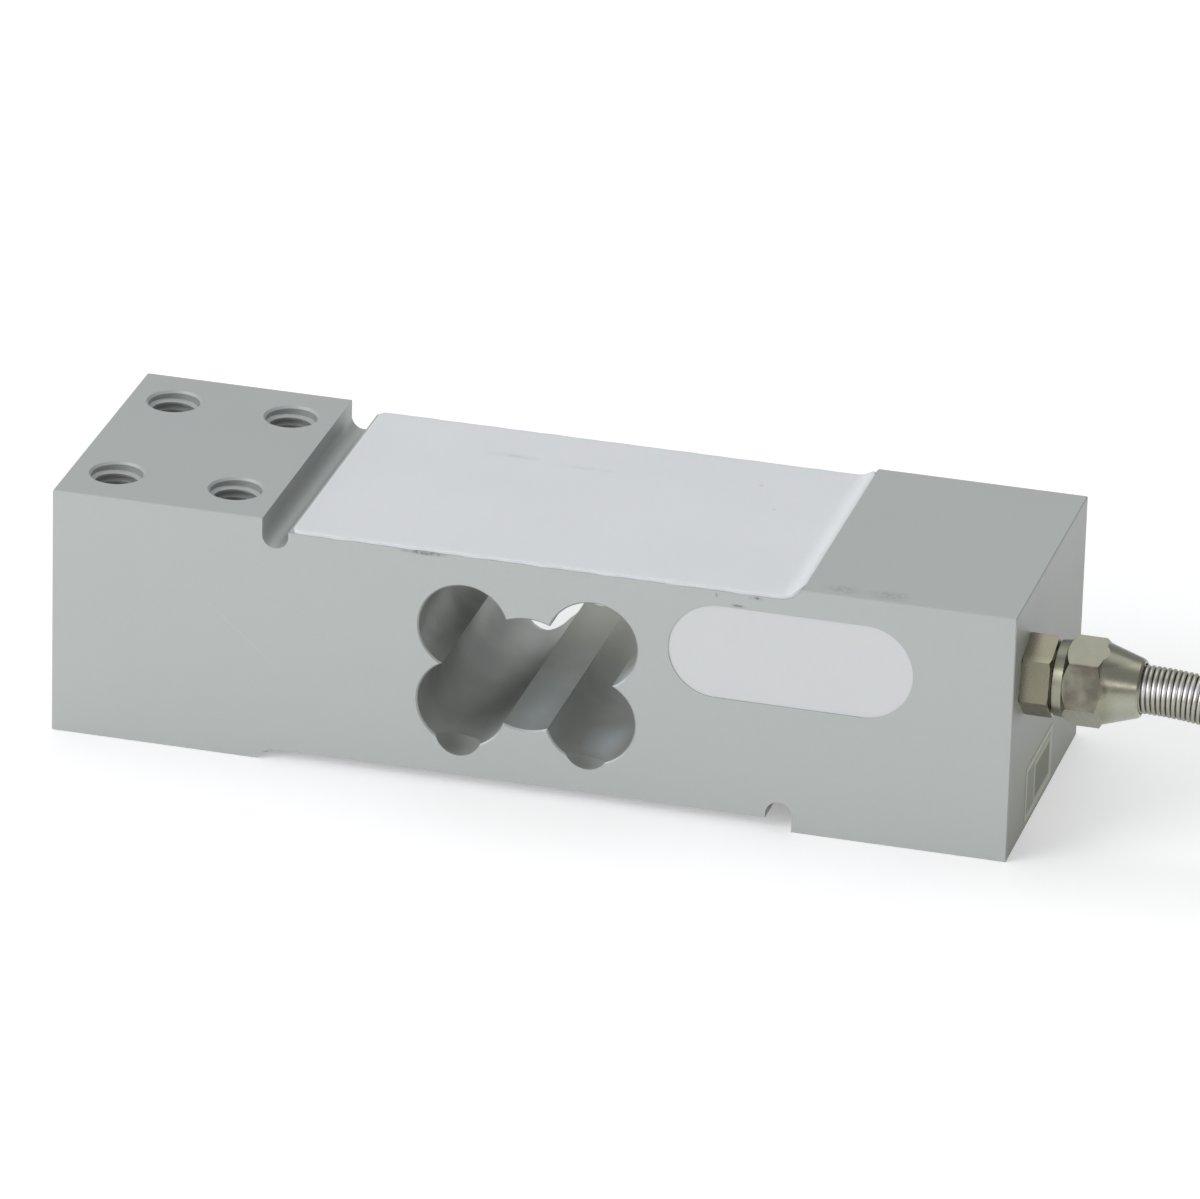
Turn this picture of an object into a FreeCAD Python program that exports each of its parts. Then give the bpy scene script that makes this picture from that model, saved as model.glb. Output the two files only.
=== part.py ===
# Single point load cell: a machined aluminium binocular beam with bonded foil
# strain gauges under silicone, a cable gland in the end face and its lead.
# Millimetres. The origin is the centre of the underside, +X runs to the cable
# end, -Y is the pocket side and +Z is up.
import FreeCAD, Part
import math
import os

V = FreeCAD.Vector
X_AXIS, Y_AXIS, Z_AXIS = V(1, 0, 0), V(0, 1, 0), V(0, 0, 1)

# ---------------------------------------------------------------- beam
beam_length = 150.0
beam_width = 48.0
beam_height = 40.0
edge_break = 0.15            # deburred outer edges

# The load pad, groove and gauge recess. The underside is the same, half a turn round.
load_pad_length = 33.2
groove_radius = 2.05
groove_depth = 4.7
recess_depth = 1.9
runout_radius = 4.0          # cutter radius left where the recess climbs out
end_land_length = 32.8       # full height land from the run-out to the end face

# Four-lobe flexure opening, bored right through along Y
lobe_radius = 7.0
lobe_half_pitch = 10.05      # along X, from the middle
lobe_half_rise = 6.2         # along Z, from the middle
core_bore_radius = 9.15
bore_break = 0.25

# Corner-load trim: shallow burr cuts ground into the lower lobes by hand
trim_burr_radius = 3.8
trim_tilt = 24.0             # degrees between the burr and the bore
trim_reach = 6.5             # length of the cut into the bore
# Each cut: lobe's side, face it starts from, along X from the lobe's middle, drop below it
trim_cuts = ((-1, -1, -0.35, 4.55), (1, -1, -0.35, 3.9), (-1, 1, 0.65, 4.2))

# Tapped mounting holes, four in the load pad and four under the cable end
thread_radius = 4.0          # M8
drill_radius = 3.4
thread_depth = 15.0
drill_depth = 16.5
drill_point_angle = 118.0
hole_mouth = 0.35            # countersink past the thread radius
hole_from_end = 7.3
hole_spacing_x = 18.9
hole_spacing_y = 29.2

# Wiring pocket in the front face
pocket_length = 37.8
pocket_height = 15.1
pocket_depth = 16.0
pocket_from_end = 15.4       # metal between the pocket and the end face
pocket_cover = 2.45          # metal between the pocket and the gauge recess

# Wire holes from the gauge recesses into the pocket
wire_hole_radius = 1.25
wire_hole_from_pocket_end = 9.0
wire_hole_from_front = 8.0

# ---------------------------------------------------------------- silicone
coat_thickness = 0.55
coat_groove_gap = 0.6        # bare strip beside the groove
coat_side_gap = 0.25
coat_edge_round = 0.25
coat_rim_drop = 0.08         # below the land where the silicone ends
fill_setback = 0.15          # pocket fill below the front face
fill_edge_round = 0.5

# ---------------------------------------------------------------- gauges and wiring
gauge_length = 9.0
gauge_width = 6.5
gauge_thickness = 0.12
grid_length = 5.5
grid_width = 4.0
tab_length = 2.4
tab_width = 4.6
tab_thickness = 0.2
tab_gap = 1.0
jumper_radius = 0.15
jumper_pitch = 0.4
jumper_stagger = 1.92        # between the places where neighbouring jumpers turn
jumper_slant = 5.5           # along X while a jumper crosses to its lane
jumper_column = 0.24         # between neighbouring jumpers along X in the wire hole
wire_fit = 0.05
jumper_tail_length = 1.2     # down into the pocket before the turn to the board

board_length = 26.0
board_width = 10.5
board_thickness = 1.0
board_corner = 1.5
pad_radius = 0.9
pad_tip_radius = 0.5
pad_height = 0.6
pads_per_row = 4
pad_row_inset = 1.6
resistor_radius = 1.1
resistor_core_radius = 0.85
resistor_length = 4.2
resistor_gap = 1.6
resistor_flange = 0.35
resistor_count = 3

# ---------------------------------------------------------------- gland
gland_from_front = 9.5
gland_below_pocket = 1.0     # gland's axis under the middle of the pocket
shank_radius = 3.95          # M8 x 1 into the beam
shank_length = 10.0
shank_clearance = 0.05
body_flats = 11.0
body_hex_length = 4.4
body_turn = 18.5             # degrees the hexagon is turned from flats up
neck_radius = 4.75
neck_length = 6.0
body_bore_clearance = 0.1
nut_flats = 12.0
nut_turn = 16.6
nut_gap = 0.25               # between body hexagon and nut
nut_collar_radius = 5.75
nut_collar_length = 2.2
nut_hex_length = 5.2
nut_shoulder_radius = 6.2
nut_nose_radius = 4.5
nut_nose_length = 5.7
nut_thread_clearance = 0.05
nut_wall_at_nose = 0.62
hex_chamfer = 0.5
body_corner_trim = 0.1       # hexagon corners past the turned envelope
nut_corner_trim = 0.05
nut_collar_taper = 0.15      # the collar widens by this towards the hexagon
nose_round = 0.3
seal_outer = 4.95            # rubber seal in a recess under the body hexagon
seal_height = 0.9
seal_squeeze = 0.05
grommet_wall = 1.25
grommet_length = 5.2
clamp_ring_thickness = 0.5
clamp_ring_inset = 0.15

# ---------------------------------------------------------------- cable
arc_share = 0.45             # of the shorter run, taken by each arc of a route
cable_radius = 2.7
cable_fit = 0.02             # rubber and sleeve on the jacket
core_radius = 0.6
core_spread = 0.85
core_leave = 3.5             # straight out of the jacket
core_rise = 2.6              # straight run that ends on the pad
jacket_end_in_pocket = 0.5   # jacket past the pocket wall
spring_radius = 3.75
spring_fit = 0.25            # spring bore over the jacket
spring_bend = 60.0
spring_runs = 5              # the spring ends half way along this run of the route

coil_stub_inset = 0.7        # stub nearer the coil's middle than the outer turn
coil_stub_drop = 0.3         # and lower than the top turn

# Route of the cable from the gland's nose to the coil's top turn: along X, along Y
# from the gland's axis, and height above the top turn
cable_route_steps = [
    (5.0, 0.0, 8.2), (14.0, 0.0, 6.9), (25.5, -0.3, 4.6), (37.0, -0.8, 1.9),
    (48.0, -0.4, -coil_stub_drop), (57.0, -0.4, -coil_stub_drop),
]

# The rest is wound into a long flat coil in line with the beam
coil_inner_bend = 16.2       # of the jacket's middle at the coil's ends
coil_columns = 2             # turns side by side
coil_layers = 4              # turns on each other
coil_straight = 66.5
coil_corner = 2.2
coil_lead_in = 18.0          # stub that the cable joins, up to where the turn is straight
tail_start = 2.0             # where the tail rises out of the far run, from the run's start
tail_step = 8.0
tail_sinks = (4.4, 1.6, 0.1, -0.45, -0.6)   # below its lie on top of the coil
tail_gap = 0.05
end_sleeve_wall = 0.5
end_sleeve_length = 11.0
end_sleeve_overlap = 4.5
lead_radius = 0.65
lead_spread = 0.85
lead_straight = 10.5
lead_fan = 2.8               # between neighbouring leads where they lie on the coil
lead_reaches = ((20.0, 0.85), (30.0, 1.0))   # past the jacket's end, share of the fan
lead_sides = 8               # of the plain section that stands for a thin wire
jumper_sides = 6
tinned_radius = 0.35
tinned_length = 6.0
tie_width = 3.0
tie_thickness = 1.0
tie_gap = 0.2
tie_place = -6.0             # along X from the middle of the coil
tie_head = 5.0
tie_head_height = 3.4

CORE_COLOURS = ("red", "black", "green", "white")

# ---------------------------------------------------------------- places worked out
end_x = beam_length / 2
front_y = -beam_width / 2
mid_z = beam_height / 2
recess_floor = beam_height - recess_depth
pocket_centre_height = recess_floor - pocket_cover - pocket_height / 2
gland_height = pocket_centre_height - gland_below_pocket
groove_x = -end_x + load_pad_length + groove_radius
runout_end_x = end_x - end_land_length
runout_start_x = runout_end_x - math.sqrt(runout_radius ** 2 - (runout_radius - recess_depth) ** 2)
pocket_x = end_x - pocket_from_end - pocket_length / 2
pocket_floor_y = front_y + pocket_depth
pocket_left_x = pocket_x - pocket_length / 2
wire_hole_x = pocket_left_x + wire_hole_from_pocket_end
wire_hole_y = front_y + wire_hole_from_front
board_face_y = pocket_floor_y - board_thickness
pad_front_y = board_face_y - pad_height
gland_y = front_y + gland_from_front
nut_start_x = end_x + body_hex_length + nut_gap
nut_hex_x = nut_start_x + nut_collar_length
nut_cone_x = nut_hex_x + nut_hex_length
nose_x = nut_cone_x + nut_nose_length
neck_end_x = end_x + body_hex_length + neck_length
body_bore = cable_radius + body_bore_clearance
grommet_radius = cable_radius + grommet_wall
nut_bore = nut_nose_radius - nut_wall_at_nose
jacket_end_x = end_x - pocket_from_end + jacket_end_in_pocket
spring_start_x = neck_end_x + clamp_ring_thickness


def export(name, shape):
    """Write one node and report its size."""
    if not shape.isValid():
        print("NOT VALID", name)
    shape.exportStep("parts/%s.step" % name)
    print("%-22s solids %d volume %.2f" % (name, len(shape.Solids), shape.Volume))


def half_turn(shape):
    """The underside copy: half a turn about the crosswise axis through the middle."""
    return shape.rotated(V(0, 0, mid_z), Y_AXIS, 180)


def cylinder(radius, start, direction, length):
    return Part.makeCylinder(radius, length, start, direction)


def fuse_all(shapes):
    return shapes[0].multiFuse(shapes[1:]) if len(shapes) > 1 else shapes[0]


def plate_profile(outline, y, width):
    """Extrude a closed outline in X and Z: each step is a line's two or an arc's three points."""
    edges = []
    for step in outline:
        ends = [V(x, y, z) for x, z in step]
        if len(ends) == 3:
            edges.append(Part.Arc(*ends).toShape())
        else:
            edges.append(Part.LineSegment(*ends).toShape())
    return Part.Face(Part.Wire(edges)).extrude(V(0, width, 0))


def obround(length, height, x, z, y, depth):
    """Slot form along X, cut from y towards +Y."""
    radius = height / 2
    half = length / 2 - radius
    outline = [
        ((x - half, z + radius), (x + half, z + radius)),
        ((x + half, z + radius), (x + half + radius, z), (x + half, z - radius)),
        ((x + half, z - radius), (x - half, z - radius)),
        ((x - half, z - radius), (x - half - radius, z), (x - half, z + radius)),
    ]
    return plate_profile(outline, y, depth)


def runout_arc(offset, top_z):
    """Start, middle and end of the run-out up to top_z, moved off the metal by offset."""
    radius = runout_radius - offset
    centre_z = recess_floor + runout_radius
    end_angle = math.acos((centre_z - top_z) / radius)
    return [(runout_start_x + radius * math.sin(end_angle * share),
             centre_z - radius * math.cos(end_angle * share)) for share in (0, 0.5, 1)]


# ---------------------------------------------------------------- beam
def recess_cutter():
    """Groove beside the pad and the shallow gauge recess with its run-out."""
    low, middle, high = runout_arc(0, beam_height)
    top = beam_height + 1
    outline = [
        ((groove_x, recess_floor), low),
        (low, middle, high),
        (high, (runout_end_x, top)),
        ((runout_end_x, top), (groove_x, top)),
        ((groove_x, top), (groove_x, recess_floor)),
    ]
    recess = plate_profile(outline, front_y - 1, beam_width + 2)
    groove_z = beam_height - groove_depth + groove_radius
    groove = cylinder(groove_radius, V(groove_x, front_y - 1, groove_z), Y_AXIS, beam_width + 2)
    slot = Part.makeBox(2 * groove_radius, beam_width + 2, top - groove_z,
                        V(groove_x - groove_radius, front_y - 1, groove_z))
    return fuse_all([recess, groove, slot])


def bore_cutter(radius, x, z):
    """A bore along Y with its rims broken at both faces."""
    parts = [cylinder(radius, V(x, front_y - 1, z), Y_AXIS, beam_width + 2)]
    for face_y, inward in ((front_y, Y_AXIS), (-front_y, Y_AXIS * -1)):
        parts.append(Part.makeCone(radius + bore_break, radius, bore_break, V(x, face_y, z), inward))
    return fuse_all(parts)


def flexure_cutter():
    """Four lobes and the core bore between them."""
    bores = [bore_cutter(core_bore_radius, 0, mid_z)]
    for side in (-1, 1):
        for level in (-1, 1):
            bores.append(bore_cutter(lobe_radius, side * lobe_half_pitch, mid_z + level * lobe_half_rise))
    return fuse_all(bores)


def trim_cutter(side, face, along, drop):
    """A round-nosed burr held at a slant, so that the cut fades into the lobe."""
    slant = math.radians(trim_tilt)
    direction = V(0, -face * math.cos(slant), math.sin(slant))
    mouth = V(side * lobe_half_pitch + along, -face * front_y, mid_z - lobe_half_rise - drop)
    start = mouth - direction * trim_burr_radius
    length = trim_burr_radius + trim_reach
    return cylinder(trim_burr_radius, start, direction, length).fuse(
        Part.makeSphere(trim_burr_radius, start + direction * length))


def tapped_hole_cutter(x, y):
    """Countersunk tapped hole going down from the top face, with its drill point."""
    down = V(0, 0, -1)
    mouth = V(x, y, beam_height)
    point = drill_radius / math.tan(math.radians(drill_point_angle / 2))
    return fuse_all([
        Part.makeCone(thread_radius + hole_mouth, thread_radius, hole_mouth, mouth, down),
        cylinder(thread_radius, mouth, down, thread_depth),
        cylinder(drill_radius, mouth, down, drill_depth),
        Part.makeCone(drill_radius, 0, point, mouth + down * drill_depth, down),
    ])


def make_beam():
    block = Part.makeBox(beam_length, beam_width, beam_height, V(-end_x, front_y, 0))
    block = block.makeChamfer(edge_break, block.Edges)
    top_cut = recess_cutter()
    cutters = [top_cut, half_turn(top_cut), flexure_cutter()]
    for row in (0, 1):
        for side in (-1, 1):
            hole = tapped_hole_cutter(-end_x + hole_from_end + row * hole_spacing_x,
                                      side * hole_spacing_y / 2)
            cutters += [hole, half_turn(hole)]
    cutters += [trim_cutter(*cut) for cut in trim_cuts]
    cutters.append(obround(pocket_length, pocket_height, pocket_x, pocket_centre_height,
                           front_y - 1, pocket_depth + 1))
    for z_from, z_to in ((pocket_centre_height, beam_height), (0, pocket_centre_height)):
        hole_start = V(wire_hole_x, wire_hole_y, z_from)
        cutters.append(cylinder(wire_hole_radius, hole_start, Z_AXIS, z_to - z_from))
    cutters.append(cylinder(shank_radius + shank_clearance, V(pocket_x, gland_y, gland_height),
                            X_AXIS, end_x + 1 - pocket_x))
    for cutter in cutters:
        block = block.cut(cutter)
    return block


# ---------------------------------------------------------------- wires
def rounded_route(points, bend=None):
    """Straight runs joined by the largest tangent arcs that the runs allow, or by bends.

    Gives the straights as (start, end) and the arcs as (start, centre, axis, angle, radius)."""
    straights, arcs, at = [], [], points[0]
    for before, corner, after in zip(points, points[1:], points[2:]):
        run_in, run_out = corner - before, after - corner
        turn = run_in.getAngle(run_out)
        reach = arc_share * min(run_in.Length, run_out.Length)
        if bend:
            reach = min(reach, bend * math.tan(turn / 2))
        radius = reach / math.tan(turn / 2)
        run_in.normalize()
        axis = run_in.cross(run_out).normalize()
        start = corner - run_in * reach
        straights.append((at, start))
        arcs.append((start, start + axis.cross(run_in) * radius, axis, turn, radius))
        at = corner + run_out.normalize() * reach
    straights.append((at, points[-1]))
    return straights, arcs


def rod(points, radius, bend=None):
    """A round rod along rounded straight runs, built from true cylinders and ring segments."""
    straights, arcs = rounded_route(points, bend)
    pieces = []
    for start, end in straights:
        pieces.append(cylinder(radius, start, end - start, (end - start).Length))
    for (before, start), (at, centre, axis, turn, _) in zip(straights, arcs):
        disc = Part.Face(Part.Wire(Part.makeCircle(radius, at, start - before)))
        pieces.append(disc.revolve(centre, axis, math.degrees(turn)))
    return fuse_all(pieces)


def report_route(name, points, radius, shape):
    """Say how tight the route's arcs are and test the rod's volume."""
    straights, arcs = rounded_route(points)
    length = sum((end - start).Length for start, end in straights)
    length += sum(turn * arc_radius for _, _, _, turn, arc_radius in arcs)
    print("%-22s radii %s" % (name, " ".join("%.1f" % arc[-1] for arc in arcs)))
    print("%-22s length %.1f volume %.4f of section x length"
          % (name, length, shape.Volume / (math.pi * radius ** 2 * length)))


# ---------------------------------------------------------------- gauges
def level_z(above_floor, level):
    """Height of a point off the recess floor, on the top (1) or under the beam (-1)."""
    return mid_z + level * (recess_floor + above_floor - mid_z)


def slab(x, length, width, low, high, level):
    """A flat piece on a recess floor, centred across the beam."""
    ends = sorted((level_z(low, level), level_z(high, level)))
    return Part.makeBox(length, width, ends[1] - ends[0], V(x, -width / 2, ends[0]))


def make_gauge(side, level):
    """Foil gauge over the thinnest metal: a backing with its grid raised on it."""
    x = side * lobe_half_pitch
    backing = slab(x - gauge_length / 2, gauge_length, gauge_width, 0, gauge_thickness / 2, level)
    grid = slab(x - grid_length / 2, grid_length, grid_width, gauge_thickness / 2, gauge_thickness, level)
    return backing.fuse(grid)


def tab_x(side):
    """Left edge of a gauge's solder tab."""
    return side * lobe_half_pitch + gauge_length / 2 + tab_gap


def make_tabs(level):
    return [slab(tab_x(side), tab_length, tab_width, 0, tab_thickness, level) for side in (-1, 1)]


def jumper_routes(level):
    """Two wires from each solder tab to the wire hole, into the pocket and on to a pad."""
    routes = []
    wire_z = level_z(jumper_radius + wire_fit, level)
    hole_end_z = pocket_centre_height + level * (pocket_height / 2 - jumper_tail_length)
    pads = pad_places(level)
    for index, (side, row) in enumerate(((-1, 1), (-1, -1), (1, 1), (1, -1))):
        lane = index - 1.5
        across = wire_hole_y + lane * jumper_pitch
        along = wire_hole_x + jumper_pitch / 2 - lane * jumper_column
        leave_y = row * tab_width / 4
        start_x = tab_x(side) + tab_length + wire_fit
        turn_x = start_x + (3 - row) / 2 * jumper_stagger
        pad_x, pad_z = pads[index // 2]
        routes.append([
            V(start_x, leave_y, wire_z),
            V(turn_x, leave_y, wire_z),
            V(turn_x + jumper_slant, across, wire_z),
            V(along, across, wire_z),
            V(along, across, hole_end_z),
            V(pad_x + row * jumper_radius * 2, pad_front_y - jumper_radius, pad_z),
        ])
    return routes


def fine_wire(points, radius, sides):
    """A thin wire: a plain many-sided section carried round mitred corners."""
    ahead = (points[1] - points[0]).normalize()
    across = ahead.cross(Z_AXIS).normalize()
    up = across.cross(ahead)
    turns = [2 * math.pi * k / sides for k in range(sides + 1)]
    corners = [points[0] + (across * math.cos(turn) + up * math.sin(turn)) * radius for turn in turns]
    return Part.makePolygon(points).makePipeShell([Part.makePolygon(corners)], True, False, 1)


def make_jumpers(level):
    return [fine_wire(route, jumper_radius, jumper_sides) for route in jumper_routes(level)]


# ---------------------------------------------------------------- pocket
def pad_places(level):
    """Solder pads along the board's upper (1) or lower (-1) edge, from the wire holes' end."""
    pitch = (board_length - 2 * board_corner - 2 * pad_row_inset) / (pads_per_row - 1)
    z = pocket_centre_height + level * (board_width / 2 - pad_row_inset)
    return [(pocket_x + (index - (pads_per_row - 1) / 2) * pitch, z) for index in range(pads_per_row)]


def make_board():
    corner = V(pocket_x - board_length / 2, board_face_y, pocket_centre_height - board_width / 2)
    board = Part.makeBox(board_length, board_thickness, board_width, corner)
    upright = [e for e in board.Edges if abs(e.tangentAt(e.FirstParameter).y) > 0.9]
    return board.makeFillet(board_corner, upright)


def make_pads():
    return [Part.makeCone(pad_radius, pad_tip_radius, pad_height, V(x, board_face_y, z), Y_AXIS * -1)
            for level in (-1, 1) for x, z in pad_places(level)]


def make_resistors():
    """Wound trim resistors lying on the board between the pad rows."""
    bodies = []
    pitch = resistor_length + resistor_gap
    centre_y = board_face_y - resistor_radius
    for index in range(resistor_count):
        x = pocket_x + (index - resistor_count / 2) * pitch + resistor_gap / 2
        core = cylinder(resistor_core_radius, V(x, centre_y, pocket_centre_height), X_AXIS, resistor_length)
        ends = [cylinder(resistor_radius, V(at, centre_y, pocket_centre_height), X_AXIS, resistor_flange)
                for at in (x, x + resistor_length - resistor_flange)]
        bodies.append(fuse_all([core] + ends))
    return bodies


def core_routes():
    """Cable cores from the jacket's end to the pads nearest the gland, in colour order."""
    routes = []
    for pad_index, dy in ((-2, -core_spread), (-1, core_spread)):
        for level in (1, -1):
            pad_x, pad_z = pad_places(level)[pad_index]
            y, z = gland_y + dy, gland_height + level * core_spread
            routes.append([
                V(jacket_end_x, y, z),
                V(jacket_end_x - core_leave, y, z),
                V(pad_x, pad_front_y - core_rise, pad_z),
                V(pad_x, pad_front_y, pad_z),
            ])
    return routes


# ---------------------------------------------------------------- gland
def hexagon(flats, turn, x, length):
    """Hexagonal bar along X on the gland's axis."""
    corner = flats / math.sqrt(3)
    points = [V(x, gland_y + corner * math.cos(math.radians(turn + 60 * k)),
                gland_height + corner * math.sin(math.radians(turn + 60 * k))) for k in range(7)]
    return Part.Face(Part.makePolygon(points)).extrude(V(length, 0, 0))


def turned(profile):
    """Turn an (x, radius) outline round the gland's axis."""
    points = [V(x, gland_y, gland_height + r) for x, r in profile]
    face = Part.Face(Part.makePolygon(points + points[:1]))
    return face.revolve(V(0, gland_y, gland_height), X_AXIS, 360)


def make_gland_body():
    corner = body_flats / math.sqrt(3) + body_corner_trim
    hex_end = end_x + body_hex_length
    bar = hexagon(body_flats, body_turn, end_x, body_hex_length)
    envelope = turned([(end_x, 0), (end_x, corner - hex_chamfer), (end_x + hex_chamfer / 2, corner),
                       (hex_end - hex_chamfer / 2, corner), (hex_end, corner - hex_chamfer), (hex_end, 0)])
    body = bar.common(envelope)
    shank = turned([(end_x - shank_length, 0), (end_x - shank_length, shank_radius - hex_chamfer),
                    (end_x - shank_length + hex_chamfer, shank_radius), (end_x, shank_radius), (end_x, 0)])
    neck = turned([(hex_end, 0), (hex_end, neck_radius), (neck_end_x - hex_chamfer, neck_radius),
                   (neck_end_x, neck_radius - hex_chamfer), (neck_end_x, 0)])
    body = fuse_all([body, shank, neck])
    bore_start = V(end_x - shank_length - 1, gland_y, gland_height)
    grommet_start = V(neck_end_x - grommet_length, gland_y, gland_height)
    body = body.cut(cylinder(body_bore, bore_start, X_AXIS, neck_end_x + 1 - bore_start.x))
    body = body.cut(cylinder(grommet_radius + cable_fit, grommet_start, X_AXIS, grommet_length + 1))
    return body.cut(ring(shank_radius, seal_outer, end_x, seal_height))


def ring(inner, outer, x, length):
    axis_point = V(x, gland_y, gland_height)
    return cylinder(outer, axis_point, X_AXIS, length).cut(cylinder(inner, axis_point, X_AXIS, length))


def make_nut():
    """Clamping nut: round collar, hexagon and tapered nose."""
    corner = nut_flats / math.sqrt(3) + nut_corner_trim
    shape = turned([
        (nut_start_x, 0), (nut_start_x, nut_collar_radius - hex_chamfer / 2),
        (nut_start_x + hex_chamfer / 2, nut_collar_radius),
        (nut_hex_x - hex_chamfer, nut_collar_radius + nut_collar_taper),
        (nut_hex_x + hex_chamfer, corner), (nut_cone_x - hex_chamfer, corner),
        (nut_cone_x, nut_shoulder_radius), (nose_x - nose_round, nut_nose_radius),
        (nose_x, nut_nose_radius - nose_round),
        (nose_x, 0)])
    bar = hexagon(nut_flats, nut_turn, nut_start_x, nose_x - nut_start_x)
    nut = shape.common(bar)
    inside = [
        (nut_start_x - 1, 0), (nut_start_x - 1, neck_radius + nut_thread_clearance),
        (neck_end_x + clamp_ring_thickness, neck_radius + nut_thread_clearance),
        (neck_end_x + clamp_ring_thickness, nut_bore), (nose_x + 1, nut_bore), (nose_x + 1, 0)]
    return nut.cut(turned(inside))


def make_cable_in_gland():
    """Jacketed cable from the pocket, through the gland, to its nose."""
    return cylinder(cable_radius, V(jacket_end_x, gland_y, gland_height), X_AXIS, nose_x - jacket_end_x)


# ---------------------------------------------------------------- cable and its spring
coil_top_turn = (2 * coil_layers - 1) * cable_radius
cable_route = [V(nose_x, gland_y, gland_height)]
cable_route += [V(nose_x + dx, gland_y + dy, coil_top_turn + dz) for dx, dy, dz in cable_route_steps]


def make_spring():
    """Anti-kink spring as the plain sleeve that its close windings fill."""
    last = (cable_route[spring_runs - 1] + cable_route[spring_runs]) * 0.5
    points = cable_route[:spring_runs] + [last]
    points[0] = V(spring_start_x, gland_y, gland_height)
    return rod(points, spring_radius, spring_bend).cut(rod(points, cable_radius + spring_fit, spring_bend))


# ---------------------------------------------------------------- coil and free end
coil_outer_bend = coil_inner_bend + (coil_columns - 1) * 2 * cable_radius
coil_middle_bend = (coil_inner_bend + coil_outer_bend) / 2
coil_height = coil_layers * 2 * cable_radius
coil_x = cable_route[-1].x + coil_lead_in + coil_straight / 2
coil_y = cable_route[-1].y + coil_outer_bend - coil_stub_inset


def on_far_run(distance, spread, z):
    """A point along the coil's far side and on round its end, spread outwards from its middle."""
    bend = coil_middle_bend + spread
    turn = max(distance - coil_straight, 0) / coil_middle_bend
    straight = min(distance, coil_straight)
    x = coil_x + coil_straight / 2 - straight - bend * math.sin(turn)
    return V(x, coil_y + bend * math.cos(turn), z)


def coil_form(bend, height):
    """Block with round ends, as wide as twice the bend, standing on the table."""
    form = obround(coil_straight + 2 * bend, 2 * bend, coil_x, -coil_y, 0, height)
    return form.rotated(V(0, 0, 0), X_AXIS, 90)


def make_coil(tie_room):
    """Outer form of the tied coil, with the stub where the cable runs in."""
    outer = coil_form(coil_outer_bend + cable_radius, coil_height)
    rims = [edge for edge in outer.Edges if edge.BoundBox.ZMin > coil_height - cable_radius]
    turns = outer.makeChamfer(coil_corner, rims).cut(coil_form(coil_inner_bend - cable_radius, coil_height))
    stub = cylinder(cable_radius, cable_route[-1], X_AXIS, coil_lead_in + cable_radius)
    return turns.fuse(stub).cut(tie_room)


def tail_route():
    """The free end climbs out of the far run and lies on it."""
    lie = coil_height + cable_radius + tail_gap
    return [on_far_run(tail_start + index * tail_step, 0, lie - sink)
            for index, sink in enumerate(tail_sinks)]


def tail_end():
    """Where the jacket ends and which way it points there."""
    before, last = tail_route()[-2:]
    return last, (last - before).normalize()


def make_end_sleeve():
    """Heat-shrink sleeve over the end of the jacket."""
    end, ahead = tail_end()
    start = end - ahead * end_sleeve_overlap
    bore = cable_radius + cable_fit
    return cylinder(bore + end_sleeve_wall, start, ahead, end_sleeve_length).cut(
        cylinder(bore, start, ahead, end_sleeve_length))


def lead_routes():
    """Stripped cores out of the sleeve, fanned out where they lie on the coil."""
    end, ahead = tail_end()
    side = Z_AXIS.cross(ahead).normalize()
    lift = ahead.cross(side)
    lie = coil_height + lead_radius + tail_gap
    jacket_end = tail_start + (len(tail_sinks) - 1) * tail_step
    routes = []
    for index, (across, up) in enumerate(((-1, -1), (-1, 1), (1, 1), (1, -1))):
        start = end + (side * across + lift * up) * lead_spread
        spread = (1.5 - index) * lead_fan
        fanned = [on_far_run(jacket_end + reach, spread * share, lie) for reach, share in lead_reaches]
        routes.append([start, start + ahead * lead_straight] + fanned)
    return routes


def make_tinned_ends():
    ends = []
    for route in lead_routes():
        ahead = (route[-1] - route[-2]).normalize()
        ends.append(cylinder(tinned_radius, route[-1], ahead, tinned_length))
    return ends


def make_tie():
    """Band round the coil's near side, with its head on top."""
    reach = tie_gap + tie_thickness
    low_y = coil_y - coil_outer_bend - cable_radius
    across = coil_outer_bend - coil_inner_bend + 2 * cable_radius
    x = coil_x + tie_place

    def loop(grow, base):
        form = Part.makeBox(tie_width, across + 2 * grow, coil_height + grow - base,
                            V(x - tie_width / 2, low_y - grow, base))
        corners = [edge for edge in form.Edges if edge.BoundBox.XLength > tie_width / 2]
        return form.makeFillet(coil_corner + grow, corners)

    band = loop(reach, 0).cut(loop(tie_gap, tie_thickness))
    head = Part.makeBox(tie_head, tie_head, tie_head_height,
                        V(x - tie_head / 2, low_y + (across - tie_head) / 2, coil_height + tie_gap))
    return band.fuse(head)


# ---------------------------------------------------------------- silicone
def make_coat():
    """Silicone over the gauges: level in the recess, drawn up the run-out to the land."""
    left = groove_x + groove_radius + coat_groove_gap
    surface = recess_floor + coat_thickness
    rim = beam_height - coat_rim_drop
    under = runout_arc(0, rim)
    over = runout_arc(coat_thickness, rim)
    outline = [
        ((left, recess_floor), under[0]),
        tuple(under),
        (under[2], over[2]),
        (over[2], over[1], over[0]),
        (over[0], (left, surface)),
        ((left, surface), (left, recess_floor)),
    ]
    coat = plate_profile(outline, front_y + coat_side_gap, beam_width - 2 * coat_side_gap)
    rims = [edge for edge in coat.Edges
            if edge.BoundBox.ZMin > surface - 0.01 and edge.BoundBox.ZMax < surface + 0.01
            and (edge.BoundBox.XLength > 1) != (edge.BoundBox.XMax < left + 1)]
    return coat.makeFillet(coat_edge_round, rims)


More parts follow.
